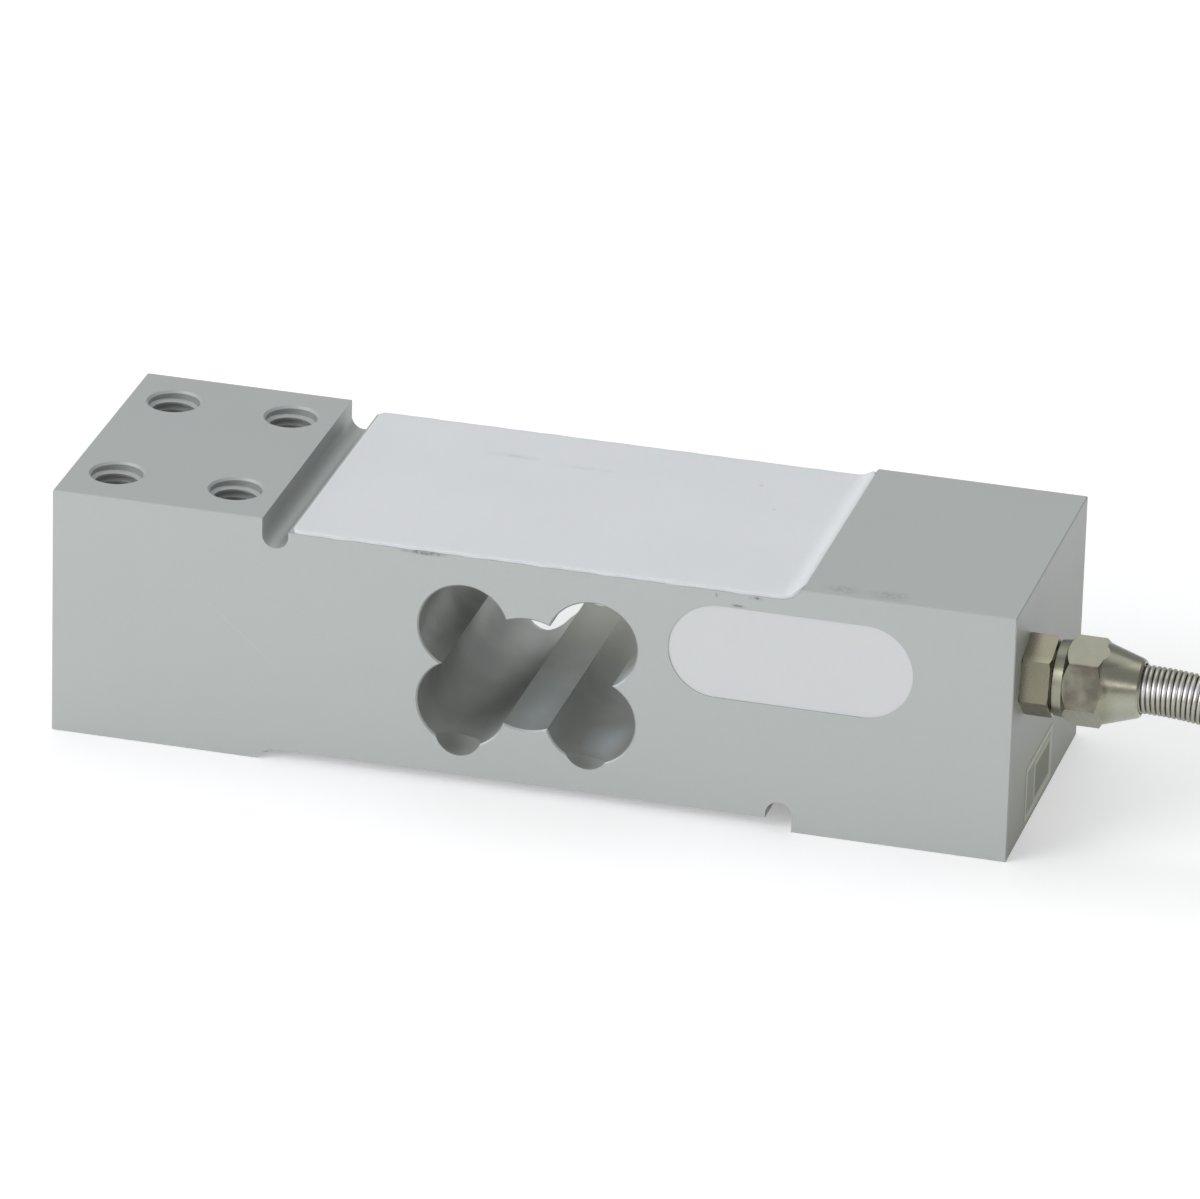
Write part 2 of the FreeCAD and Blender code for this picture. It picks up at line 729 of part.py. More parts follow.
def make_pocket_fill():
    """Silicone potting, a little below the front face, with a rounded rim."""
    fill = obround(pocket_length, pocket_height, pocket_x, pocket_centre_height,
                   front_y + fill_setback, pocket_depth - fill_setback)
    rims = [edge for edge in fill.Edges if edge.BoundBox.YMax < front_y + fill_setback + 0.01]
    return fill.makeFillet(fill_edge_round, rims)


def cut_all(shape, cutters):
    for cutter in cutters:
        shape = shape.cut(cutter)
    return shape


def build():
    os.makedirs("parts", exist_ok=True)
    export("beam", make_beam())
    board, pads, resistors = make_board(), make_pads(), make_resistors()
    jumpers = {level: make_jumpers(level) for level in (1, -1)}
    cores = [fine_wire(route, core_radius, lead_sides) for route in core_routes()]
    coat = make_coat()
    for level, name, bare in ((1, "top", coat), (-1, "underside", half_turn(coat))):
        gauges = {"left": make_gauge(-1, level), "right": make_gauge(1, level)}
        tabs = make_tabs(level)
        export("silicone_" + name, cut_all(bare, list(gauges.values()) + tabs + jumpers[level]))
        for side, gauge in gauges.items():
            export("strain_gauge_%s_%s" % (name, side), gauge)
        export("solder_tabs_" + name, Part.makeCompound(tabs))
        export("jumper_wires_" + name, Part.makeCompound(jumpers[level]))
    fill = cut_all(make_pocket_fill(), [board] + pads + resistors + cores + jumpers[1] + jumpers[-1])
    export("silicone_pocket", fill)
    export("terminal_board", board)
    export("solder_pads", Part.makeCompound(pads))
    export("trim_resistors", Part.makeCompound(resistors))
    for colour, core in zip(CORE_COLOURS, cores):
        export("core_" + colour, core)

    export("gland_body", make_gland_body())
    export("gland_seal", ring(shank_radius + seal_squeeze, seal_outer - seal_squeeze, end_x, seal_height))
    export("gland_grommet", ring(cable_radius + cable_fit, grommet_radius, neck_end_x - grommet_length,
                                 grommet_length))
    export("gland_clamp_ring", ring(body_bore, neck_radius - clamp_ring_inset, neck_end_x,
                                    clamp_ring_thickness))
    export("gland_nut", make_nut())
    export("cable_in_gland", make_cable_in_gland())
    export("anti_kink_spring", make_spring())

    cable = rod(cable_route, cable_radius)
    report_route("cable", cable_route, cable_radius, cable)
    export("cable", cable)
    tie = make_tie()
    coil = make_coil(tie)
    export("cable_coil", coil)
    tail = rod(tail_route(), cable_radius)
    report_route("cable_tail", tail_route(), cable_radius, tail)
    export("cable_tail", tail.cut(coil))
    export("coil_tie", tie)
    export("end_sleeve", make_end_sleeve())
    for colour, route in zip(CORE_COLOURS, lead_routes()):
        export("lead_" + colour, fine_wire(route, lead_radius, lead_sides))
    export("tinned_ends", Part.makeCompound(make_tinned_ends()))


build()
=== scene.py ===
# A single point load cell on a pale floor: blasted aluminium beam, white silicone over
# its gauges and wiring, and a nickel-plated gland with a spring round the cable.
# Metres. +X runs to the cable end, -Y is the wiring pocket's side and +Z is up.
import math
import bmesh
import bpy
from mathutils import Matrix, Vector


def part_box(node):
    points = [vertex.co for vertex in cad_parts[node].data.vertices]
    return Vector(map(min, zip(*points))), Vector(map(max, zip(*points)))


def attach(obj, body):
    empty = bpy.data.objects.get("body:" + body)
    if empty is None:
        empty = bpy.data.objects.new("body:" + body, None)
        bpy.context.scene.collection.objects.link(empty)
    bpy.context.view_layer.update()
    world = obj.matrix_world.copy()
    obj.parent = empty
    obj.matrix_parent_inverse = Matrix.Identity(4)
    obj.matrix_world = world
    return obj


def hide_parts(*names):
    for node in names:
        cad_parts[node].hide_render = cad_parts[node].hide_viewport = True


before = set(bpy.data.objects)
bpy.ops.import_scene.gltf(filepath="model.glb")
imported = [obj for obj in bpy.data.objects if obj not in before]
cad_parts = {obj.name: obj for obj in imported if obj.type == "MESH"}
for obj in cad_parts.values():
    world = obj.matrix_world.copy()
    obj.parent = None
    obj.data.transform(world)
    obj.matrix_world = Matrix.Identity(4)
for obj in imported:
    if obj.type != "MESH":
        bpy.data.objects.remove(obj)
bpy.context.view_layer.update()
bpy.ops.object.select_all(action="DESELECT")

# ---------------------------------------------------------------- camera
# A long lens from the front, off to the right and above, held a little off level. The
# colours are shown as they are, with no film curve over them.
camera_place = (0.3605, -1.3779, 0.6628)
camera_turn = math.radians(14.47)
camera_down = math.radians(24.21)
camera_roll = math.radians(1.642)
camera_data = bpy.data.cameras.new("camera")
camera_data.sensor_width = 36
camera_data.lens = 306.99
camera_data.clip_start = 0.05
camera_data.clip_end = 20
camera = bpy.data.objects.new("camera", camera_data)
camera.matrix_world = (Matrix.Translation(camera_place) @ Matrix.Rotation(camera_turn, 4, "Z")
                       @ Matrix.Rotation(math.pi / 2 - camera_down, 4, "X")
                       @ Matrix.Rotation(camera_roll, 4, "Z"))
bpy.context.scene.collection.objects.link(camera)
bpy.context.scene.camera = camera
bpy.context.scene.view_settings.view_transform = "Standard"


# ---------------------------------------------------------------- floor and lights
# A white sheet of card under the part, seen white by the camera and in the metal, with
# the part's soft shadow on it, under three soft lamps and a studio room that dims to the right.
def node_tree(name):
    """A new material and its node tree, emptied."""
    material = bpy.data.materials.new(name)
    material.use_nodes = True
    tree = material.node_tree
    tree.nodes.clear()
    return material, tree


def add(tree, kind, **settings):
    """Add a node: sockets by their label with _ for a space, properties by their own name."""
    node = tree.nodes.new(kind)
    for key, value in settings.items():
        label = key.replace("_", " ")
        found = next((s for s in node.inputs if s.name.lower() == label.lower() and s.enabled), None)
        if found is None:
            setattr(node, key, value)
        elif isinstance(value, bpy.types.NodeSocket):
            tree.links.new(value, found)
        else:
            found.default_value = value
    return node


def white_seen(tree):
    """1 for rays from the camera and from gloss and glass, else 0."""
    path = add(tree, "ShaderNodeLightPath")
    first = add(tree, "ShaderNodeMath", operation="MAXIMUM")
    tree.links.new(path.outputs["Is Camera Ray"], first.inputs[0])
    tree.links.new(path.outputs["Is Glossy Ray"], first.inputs[1])
    second = add(tree, "ShaderNodeMath", operation="MAXIMUM")
    tree.links.new(first.outputs[0], second.inputs[0])
    tree.links.new(path.outputs["Is Transmission Ray"], second.inputs[1])
    return second.outputs[0]


floor_half = 3.0
card_glow = 0.30             # lifts the card to white where it is seen
floor_material, tree = node_tree("white_card")
diffuse = add(tree, "ShaderNodeBsdfDiffuse", Color=(0.86, 0.86, 0.86, 1))
glow = add(tree, "ShaderNodeEmission", Color=(1, 1, 1, 1), Strength=card_glow)
lifted = add(tree, "ShaderNodeAddShader")
tree.links.new(diffuse.outputs[0], lifted.inputs[0])
tree.links.new(glow.outputs[0], lifted.inputs[1])
choice = add(tree, "ShaderNodeMixShader")
tree.links.new(white_seen(tree), choice.inputs[0])
tree.links.new(diffuse.outputs[0], choice.inputs[1])
tree.links.new(lifted.outputs[0], choice.inputs[2])
tree.links.new(choice.outputs[0], add(tree, "ShaderNodeOutputMaterial").inputs["Surface"])

bpy.ops.mesh.primitive_plane_add(size=2 * floor_half, location=(0, 0, 0))
floor = bpy.context.object
floor.name = "floor"
floor.data.materials.append(floor_material)

room_left = 0.85
room_right = 0.32
world = bpy.data.worlds.new("studio_room")
bpy.context.scene.world = world
world.use_nodes = True
tree = world.node_tree
tree.nodes.clear()
way = add(tree, "ShaderNodeTexCoord").outputs["Generated"]
split = add(tree, "ShaderNodeSeparateXYZ", Vector=way)
fall = add(tree, "ShaderNodeMapRange", Value=split.outputs["X"], From_Min=-1.0, From_Max=1.0,
           To_Min=room_left, To_Max=room_right)
room = add(tree, "ShaderNodeBackground", Color=(0.96, 0.99, 1.0, 1), Strength=fall.outputs[0])
paper = add(tree, "ShaderNodeBackground", Color=(1, 1, 1, 1), Strength=1.0)
choice = add(tree, "ShaderNodeMixShader")
path = add(tree, "ShaderNodeLightPath")
tree.links.new(path.outputs["Is Camera Ray"], choice.inputs[0])
tree.links.new(room.outputs[0], choice.inputs[1])
tree.links.new(paper.outputs[0], choice.inputs[2])
tree.links.new(choice.outputs[0], add(tree, "ShaderNodeOutputWorld").inputs["Surface"])


def soft_lamp(name, place, aim, size, power, colour):
    """A square area lamp that looks at a point."""
    data = bpy.data.lights.new(name, "AREA")
    data.shape = "SQUARE"
    data.size = size
    data.energy = power
    data.color = colour
    lamp = bpy.data.objects.new(name, data)
    lamp.location = place
    lamp.rotation_euler = (Vector(aim) - Vector(place)).to_track_quat("-Z", "Y").to_euler()
    bpy.context.scene.collection.objects.link(lamp)


beam_middle = (0, 0, 0.02)
nose = (0.09, -0.0145, 0.027)
soft_lamp("lamp_front_left", (-0.95, -0.95, 0.66), beam_middle, 0.9, 10.15, (0.98, 0.99, 1.0))
soft_lamp("lamp_front_right", (0.63, -1.27, 0.64), nose, 0.30, 1.05, (1.0, 0.97, 1.0))
soft_lamp("lamp_above", (0.1, 0.5, 1.3), beam_middle, 1.0, 3.55, (1.0, 1.0, 1.0))

# ---------------------------------------------------------------- cable
# A 5.4 mm four-core lead with a smooth dark PVC jacket. It leaves the gland's nose, sags
# and is wound beyond it into a long flat coil with a tie round it.
cable_diameter = 0.0054
cable_radius = cable_diameter / 2
cable_route = [
    (0.09275, -0.0145, 0.0271), (0.09775, -0.0145, 0.0271), (0.10675, -0.0145, 0.0258),
    (0.11825, -0.0148, 0.0235), (0.12975, -0.0153, 0.0208), (0.14075, -0.0149, 0.0186),
    (0.14975, -0.0149, 0.0186),
]
coil_middle = Vector((0.2010, 0.0060, 0))
coil_straight = 0.0665
outer_bend = 0.0216
inner_bend = 0.0162
top_turn = 0.0189
far_lane = coil_middle.y + (outer_bend + inner_bend) / 2

# The turns go down the outer column and up the inner one. Each is (bend, height, hump),
# where the hump lifts it as it crosses over to the next along the far run.
coil_turns = [(outer_bend, top_turn - level * cable_diameter, 0.0020) for level in range(3)]
coil_turns.append((outer_bend, cable_radius, 0))
coil_turns += [(inner_bend, cable_radius + level * cable_diameter, 0.0020) for level in range(4)]


def drawn_in(turn):
    """Share of its control points' radius that a bend reaches, with that turn between them."""
    return 0.75 + 0.25 * math.cos(turn)


def station(index, bend, height):
    """Control point of a turn: 0-2 near run, 3-8 fold, 9-11 far run, 12-17 other fold."""
    part, step = divmod(index, 9)
    way = 1 if part == 0 else -1
    if step < 3:
        offset = Vector(((step - 1) * coil_straight / 3, -bend, 0))
    else:
        turn = math.radians(15 + 30 * (step - 3))
        reach = bend / drawn_in(math.radians(30))
        offset = Vector((coil_straight / 2 + reach * math.sin(turn), -reach * math.cos(turn), 0))
    return coil_middle + way * offset + Vector((0, 0, height))


line = [Vector(p) for p in cable_route]
line.append(Vector((0.1595, -0.0153, top_turn)))
for turn, (bend, height, hump) in enumerate(coil_turns):
    for index in range(18 if turn < 7 else 9):
        next_bend, next_height, _ = coil_turns[min(turn + 1, 7)]
        over = min(max((index - 8) / 4, 0), 1)
        share = over * over * (3 - 2 * over)
        line.append(station(index, bend + (next_bend - bend) * share,
                            height + (next_height - height) * share + hump * math.sin(math.pi * over)))
line += [Vector(p) for p in ((0.23225, 0.0224, 0.01995), (0.22425, 0.0230, 0.02275),
                             (0.21625, 0.0240, 0.02425), (0.20825, far_lane, 0.0248),
                             (0.20025, far_lane, 0.02495))]


def spline_curve(name, points, radius, sides):
    """One open smooth curve through the space between its control points, with a round section."""
    curve = bpy.data.curves.new(name, "CURVE")
    curve.dimensions = "3D"
    spline = curve.splines.new("NURBS")
    spline.points.add(len(points) - 1)
    for point, place in zip(spline.points, points):
        point.co = (*place, 1)
    spline.order_u = 3
    spline.use_endpoint_u = True
    spline.resolution_u = 6
    curve.bevel_depth = radius
    curve.bevel_resolution = sides
    curve.use_fill_caps = True
    piece = bpy.data.objects.new(name, curve)
    bpy.context.scene.collection.objects.link(piece)
    return piece


cable = spline_curve("signal_cable", line, cable_radius, 4)

# The centreline as the spline gives it, for the spring, the sleeve and the free end
cable.data.bevel_depth = 0
sampled = bpy.data.meshes.new_from_object(cable)
centreline = [vertex.co.copy() for vertex in sampled.vertices]
bpy.data.meshes.remove(sampled)
cable.data.bevel_depth = cable_radius


def lay(tree, base, tint, mask):
    """Lay a tint over a colour where the mask is 1."""
    return add(tree, "ShaderNodeMix", data_type="RGBA", A=base, B=(*tint, 1), Factor=mask).outputs["Result"]


jacket, tree = node_tree("pvc_jacket")
place = add(tree, "ShaderNodeTexCoord").outputs["Object"]
skin = add(tree, "ShaderNodeTexNoise", Vector=place, Scale=900.0, Detail=4.0)
dust = add(tree, "ShaderNodeTexNoise", Vector=place, Scale=60.0, Detail=5.0)
colour = lay(tree, (0.020, 0.021, 0.022, 1), (0.042, 0.043, 0.043), dust.outputs[0])
gloss = add(tree, "ShaderNodeMapRange", Value=skin.outputs[0], To_Min=0.38, To_Max=0.55)
relief = add(tree, "ShaderNodeBump", Height=skin.outputs[0], Strength=0.25, Distance=0.00004)
shader = add(tree, "ShaderNodeBsdfPrincipled", Base_Color=colour, Roughness=gloss.outputs[0],
             Normal=relief.outputs[0])
add(tree, "ShaderNodeOutputMaterial", Surface=shader.outputs[0])
cable.data.materials.append(jacket)
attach(cable, "root")
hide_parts("cable", "cable_coil", "cable_tail")


def dress(name, material):
    """Give a frame node its finish."""
    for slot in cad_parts[name].material_slots:
        slot.material = material


dress("cable_in_gland", jacket)

# ---------------------------------------------------------------- anti-kink spring
# Close-wound spring of nickel-plated steel wire, clamped in the gland's nose, that keeps
# the cable from kinking where it leaves. It follows the cable's own line, with a painted
# highlight along the front and painted shade underneath.
wire_radius = 0.00038
spring_outer_radius = 0.00375
spring_pitch = 0.00078
spring_start = 0.0859
spring_end_route = 4         # it ends half way from this point of the route to the next
coil_steps = 14              # points in each turn of the wire
wire_dark = (0.34, 0.33, 0.27)
wire_light = (0.50, 0.49, 0.44)
# the next two colours are painted shade underneath and a painted highlight along the front
wire_painted_shade = (0.20, 0.20, 0.15)
wire_painted_highlight = (0.94, 0.92, 0.92)


def along(distance):
    """Place and heading on the centreline, carried on straight past either end."""
    walked = 0
    for a, b in zip(centreline, centreline[1:]):
        step = (b - a).length
        if walked + step >= distance:
            break
        walked += step
    ahead = (b - a).normalized()
    return a + ahead * (distance - walked), ahead


spring_end = (Vector(cable_route[spring_end_route]) + Vector(cable_route[spring_end_route + 1])) / 2
spring_length = sum((b - a).length for a, b in zip(centreline, centreline[1:]) if b.x <= spring_end.x)
winding_start = spring_start - cable_route[0][0]
winding_steps = round((spring_length - winding_start) / spring_pitch * coil_steps)
winding_radius = (spring_outer_radius - wire_radius) / drawn_in(2 * math.pi / coil_steps)
winding = []
for step in range(winding_steps + 1):
    centre, ahead = along(winding_start + step * spring_pitch / coil_steps)
    side = Vector((-ahead.y, ahead.x, 0)).normalized()
    up = ahead.cross(side)
    angle = 2 * math.pi * step / coil_steps
    winding.append(centre + (side * math.cos(angle) + up * math.sin(angle)) * winding_radius)
spring_curve = spline_curve("spring_winding", winding, wire_radius, 2)
spring_curve.data.splines[0].resolution_u = 2
spring = bpy.data.objects.new("kink_spring", bpy.data.meshes.new_from_object(spring_curve))
bpy.data.objects.remove(spring_curve)
bpy.context.scene.collection.objects.link(spring)
for polygon in spring.data.polygons:
    polygon.use_smooth = True


def product(tree, first, second):
    """Two values multiplied."""
    node = add(tree, "ShaderNodeMath", operation="MULTIPLY")
    for value, socket in zip((first, second), node.inputs):
        if isinstance(value, bpy.types.NodeSocket):
            tree.links.new(value, socket)
        else:
            socket.default_value = value
    return node.outputs[0]


def band(tree, value, at_0, at_1):
    """Runs from 0 to 1 as the value goes from the first limit to the second."""
    return add(tree, "ShaderNodeMapRange", Value=value, From_Min=at_0, From_Max=at_1).outputs[0]


def spot(tree, place, centre, half_sizes, turn=0.0, fade=0.6):
    """1 in the middle of an ellipsoid turned about Y, fading to 0 at its skin."""
    inside = add(tree, "ShaderNodeMapping", vector_type="TEXTURE", Vector=place, Location=centre,
                 Rotation=(0, turn, 0), Scale=half_sizes)
    reach = add(tree, "ShaderNodeVectorMath", operation="LENGTH")
    tree.links.new(inside.outputs[0], reach.inputs[0])
    return band(tree, reach.outputs["Value"], 1.0, 1.0 - fade)


spring_steel, tree = node_tree("plated_spring_wire")
place = add(tree, "ShaderNodeTexCoord").outputs["Object"]
tarnish = add(tree, "ShaderNodeTexNoise", Vector=place, Scale=260.0, Detail=5.0)
split = add(tree, "ShaderNodeSeparateXYZ", Vector=place)
colour = lay(tree, (*wire_dark, 1), wire_light, tarnish.outputs[0])
# Painted shade: the wire darker underneath
painted_shade_below = product(tree, band(tree, split.outputs["Z"], 0.0270, 0.0245), 0.45)
colour = lay(tree, colour, wire_painted_shade, painted_shade_below)
# Painted highlight: a bright band along the front of the wire
painted_highlight_band = spot(tree, place, (0.1000, -0.0176, 0.0290), (0.0300, 0.0040, 0.0014), turn=math.radians(-5),
              fade=0.9)
colour = lay(tree, colour, wire_painted_highlight, product(tree, painted_highlight_band, 0.9))
gloss = add(tree, "ShaderNodeMapRange", Value=tarnish.outputs[0], To_Min=0.44, To_Max=0.32)
shader = add(tree, "ShaderNodeBsdfPrincipled", Base_Color=colour, Metallic=1.0, Roughness=gloss.outputs[0])
add(tree, "ShaderNodeOutputMaterial", Surface=shader.outputs[0])
spring.data.materials.append(spring_steel)
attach(spring, "root")
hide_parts("anti_kink_spring")

# ---------------------------------------------------------------- end sleeve
# Black heat-shrink sleeve over the end of the jacket, where the four cores leave it,
# shrunk tight on the jacket and open round the cores.
sleeve_overlap = 0.0045
sleeve_length = 0.0110
sleeve_radius = 0.00322
sleeve_wall = 0.0005
sleeve_mouth = 0.004         # how deep the mouth is open
centreline_length = sum((b - a).length for a, b in zip(centreline, centreline[1:]))
sleeve_start = centreline_length - sleeve_overlap
sleeve_points = [along(sleeve_start + share * sleeve_length)[0] for share in (0, 0.2, 0.4, 0.6, 0.8, 1)]
sleeve_curve = spline_curve("sleeve_form", sleeve_points, sleeve_radius, 8)
sleeve = bpy.data.objects.new("shrink_sleeve", bpy.data.meshes.new_from_object(sleeve_curve))
bpy.data.objects.remove(sleeve_curve)
bpy.context.scene.collection.objects.link(sleeve)
mouth, mouth_ahead = along(sleeve_start + sleeve_length)
bpy.context.view_layer.objects.active = sleeve
sleeve.select_set(True)
bpy.ops.object.mode_set(mode="EDIT")
bpy.ops.mesh.select_all(action="SELECT")
bpy.ops.mesh.remove_doubles(threshold=0.00001)
bpy.ops.mesh.select_all(action="DESELECT")
form = bmesh.from_edit_mesh(sleeve.data)
for face in form.faces:
    off_mouth = abs((face.calc_center_median() - mouth).dot(mouth_ahead))
    face.select = off_mouth < 0.0002 and abs(face.normal.dot(mouth_ahead)) > 0.9
bmesh.update_edit_mesh(sleeve.data)
bpy.ops.mesh.inset(thickness=sleeve_wall, use_relative_offset=False)
bpy.ops.mesh.extrude_region_move(TRANSFORM_OT_translate={"value": -mouth_ahead * sleeve_mouth})
bpy.ops.object.mode_set(mode="OBJECT")
bpy.ops.object.shade_smooth_by_angle(angle=math.radians(35))
sleeve.select_set(False)


def plain_finish(name, dark, light, scale, detail=3.0, bump=0.2, height=0.00003, **settings):
    """A finish that varies between two shades, with a fine relief of that height."""
    material, tree = node_tree(name)
    place = add(tree, "ShaderNodeTexCoord").outputs["Object"]
    mottle = add(tree, "ShaderNodeTexNoise", Vector=place, Scale=scale, Detail=detail)
    colour = lay(tree, (*dark, 1), light, mottle.outputs[0])
    relief = add(tree, "ShaderNodeBump", Height=mottle.outputs[0], Strength=bump, Distance=height)
    shader = add(tree, "ShaderNodeBsdfPrincipled", Base_Color=colour, Normal=relief.outputs[0], **settings)
    add(tree, "ShaderNodeOutputMaterial", Surface=shader.outputs[0])
    return material


sleeve.data.materials.append(plain_finish("heat_shrink", (0.010, 0.010, 0.011), (0.024, 0.024, 0.025), 700.0,
                                          bump=0.35, height=0.00008, Roughness=0.62))
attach(sleeve, "root")
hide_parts("end_sleeve")

# ---------------------------------------------------------------- cores
# Four PVC-insulated cores, red and black for the supply and green and white for the
# signal, loose beyond the sleeve at the free end and beyond the jacket inside the pocket.
# Their bared ends are tinned.
lead_radius = 0.00065
lead_spread = 0.00085
lead_straight = 0.0105
lead_fan = 0.0028
lead_height = 0.0223
lead_places = ((0.18025, 0.85), (0.17025, 1.0))
core_shade = 0.82            # the darker of each colour's two shades
core_colours = {"red": (0.42, 0.018, 0.016), "black": (0.014, 0.014, 0.015),
                "green": (0.020, 0.19, 0.055), "white": (0.62, 0.62, 0.59)}
end, ahead = along(centreline_length)
side = Vector((-ahead.y, ahead.x, 0)).normalized()
up = ahead.cross(side)
for index, ((colour, tint), (across, above)) in enumerate(zip(core_colours.items(),
                                                              ((-1, -1), (-1, 1), (1, 1), (1, -1)))):
    insulation = plain_finish("insulation_" + colour, [core_shade * c for c in tint], tint, 1500.0,
                              detail=2.0, height=0.00002, Roughness=0.42)
    dress("core_" + colour, insulation)
    start = end + (side * across + up * above) * lead_spread
    spread = (1.5 - index) * lead_fan
    route = [start, start + ahead * lead_straight]
    route += [Vector((x, far_lane + spread * share, lead_height))
              for x, share in lead_places]
    lead = spline_curve("lead_wire_" + colour, route, lead_radius, 4)
    lead.data.materials.append(insulation)
    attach(lead, "root")
    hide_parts("lead_" + colour)

dress("tinned_ends", plain_finish("tinned_copper", (0.45, 0.45, 0.43), (0.66, 0.65, 0.62), 2500.0,
                                  detail=2.0, bump=0.6, height=0.00005, Metallic=1.0, Roughness=0.32))

# ---------------------------------------------------------------- coil tie
# Black nylon tie pulled round the coil, its ratchet head on top. It is moulded in one
# piece, with a faint sheen.
dress("coil_tie", plain_finish("tie_nylon", (0.012, 0.012, 0.013), (0.022, 0.022, 0.023), 1200.0,
                               Roughness=0.36))

# ---------------------------------------------------------------- beam
# One bar of aluminium, milled and bored, then bead blasted and clear anodised: an even
# satin grey, painted darker inside the bores as shade and stained there, with a few handling marks.
grey_face = (0.480, 0.494, 0.486)
grey_shade = (0.448, 0.462, 0.454)
bore_light = (0.420, 0.430, 0.405)
bore_dark = (0.275, 0.282, 0.264)
oil_tint = (0.390, 0.400, 0.290)
# the next two colours are painted bounce light low in the bores and a painted sheen near their mouths
painted_bounce_tint = (0.520, 0.535, 0.520)
painted_sheen_tint = (0.660, 0.720, 0.750)
smudge_tint = (0.130, 0.125, 0.115)
scratch_tint = (0.560, 0.565, 0.560)
# painted shade for the end face, darker towards the bottom
end_painted_shade = (0.215, 0.219, 0.160)
bore_reach = 0.0192          # takes in the four lobes
blasted, tree = node_tree("blasted_aluminium")
place = add(tree, "ShaderNodeTexCoord").outputs["Object"]
split = add(tree, "ShaderNodeSeparateXYZ", Vector=place)
cloud = add(tree, "ShaderNodeTexNoise", Vector=place, Scale=55.0, Detail=3.0)
grain = add(tree, "ShaderNodeTexNoise", Vector=place, Scale=2600.0, Detail=2.0)
patches = add(tree, "ShaderNodeTexNoise", Vector=place, Scale=130.0, Detail=4.0, Distortion=0.3)
specks = add(tree, "ShaderNodeTexNoise", Vector=place, Scale=1300.0, Detail=3.0)
blend = add(tree, "ShaderNodeMath", operation="ADD")
tree.links.new(product(tree, cloud.outputs[0], 0.5), blend.inputs[0])
tree.links.new(product(tree, grain.outputs[0], 0.5), blend.inputs[1])
colour = lay(tree, (*grey_shade, 1), grey_face, blend.outputs[0])

# The bores were not blasted. Their colour is painted darker as shade, with stains in patches and cutting
# oil left at the far end, painted bounce light low down, painted sheen near the mouths and painted shade in
# the upper left lobe and the trim cuts
inner = lay(tree, (*bore_light, 1), bore_dark, band(tree, patches.outputs[0], 0.38, 0.70))
oily = product(tree, spot(tree, place, (0.0015, 0.0150, 0.0100), (0.0120, 0.0150, 0.0050)),
               band(tree, patches.outputs[0], 0.30, 0.55))
inner = lay(tree, inner, oil_tint, product(tree, oily, 0.8))
# Painted bounce light: the bores brighter low down
inner = lay(tree, inner, painted_bounce_tint, product(tree, band(tree, split.outputs["Z"], 0.0230, 0.0090), 0.55))
# Painted sheen near the mouths (the first four) and painted shade in the upper left lobe and the trim cuts
# (the last three)
for centre, half_sizes, tint, strength in (
        ((0.0000, -0.0170, 0.0109), (0.0060, 0.0170, 0.0030), painted_sheen_tint, 0.55),
        ((0.0114, -0.0160, 0.0068), (0.0046, 0.0080, 0.0024), painted_sheen_tint, 0.80),
        ((0.0152, -0.0228, 0.0212), (0.0026, 0.0060, 0.0026), painted_sheen_tint, 0.80),
        ((-0.0052, -0.0228, 0.0088), (0.0024, 0.0050, 0.0024), painted_sheen_tint, 0.60),
        ((-0.0139, -0.0105, 0.0204), (0.0034, 0.0070, 0.0034), bore_dark, 0.45),
        ((-0.0112, -0.0225, 0.0058), (0.0042, 0.0044, 0.0024), bore_dark, 0.90),
        ((0.0093, -0.0230, 0.0058), (0.0042, 0.0040, 0.0024), bore_dark, 0.80)):
    inner = lay(tree, inner, tint, product(tree, spot(tree, place, centre, half_sizes, fade=0.9), strength))
around = spot(tree, place, beam_middle, (bore_reach, 10.0, bore_reach), fade=0.02)
depth = add(tree, "ShaderNodeMath", operation="ABSOLUTE")
tree.links.new(split.outputs["Y"], depth.inputs[0])
bored = product(tree, around, band(tree, depth.outputs[0], 0.0240, 0.0237))
colour = add(tree, "ShaderNodeMix", data_type="RGBA", A=colour, B=inner, Factor=bored).outputs["Result"]

# Handling marks along the front edges, a long faint scratch and painted shade on the end face, darker
# towards the bottom
for centre, half_sizes, strength in (
        ((-0.0165, -0.0240, 0.0379), (0.0042, 0.0010, 0.0005), 0.75),
        ((0.0291, -0.0240, 0.0374), (0.0004, 0.0010, 0.0004), 0.90),
        ((0.0351, -0.0240, 0.0377), (0.0013, 0.0010, 0.0003), 0.90),
        ((0.0325, -0.0240, 0.0361), (0.0014, 0.0010, 0.0003), 0.65),
        ((0.0479, -0.0217, 0.0400), (0.0034, 0.0018, 0.0010), 0.22),
        ((0.0549, -0.0217, 0.0400), (0.0038, 0.0020, 0.0010), 0.25)):
    mark = product(tree, spot(tree, place, centre, half_sizes), band(tree, specks.outputs[0], 0.36, 0.58))
    colour = lay(tree, colour, smudge_tint, product(tree, mark, strength))
scratch = spot(tree, place, (-0.0455, -0.0240, 0.0209), (0.0107, 0.0010, 0.00013), turn=math.radians(40.7))
colour = lay(tree, colour, scratch_tint, product(tree, scratch, 0.35))
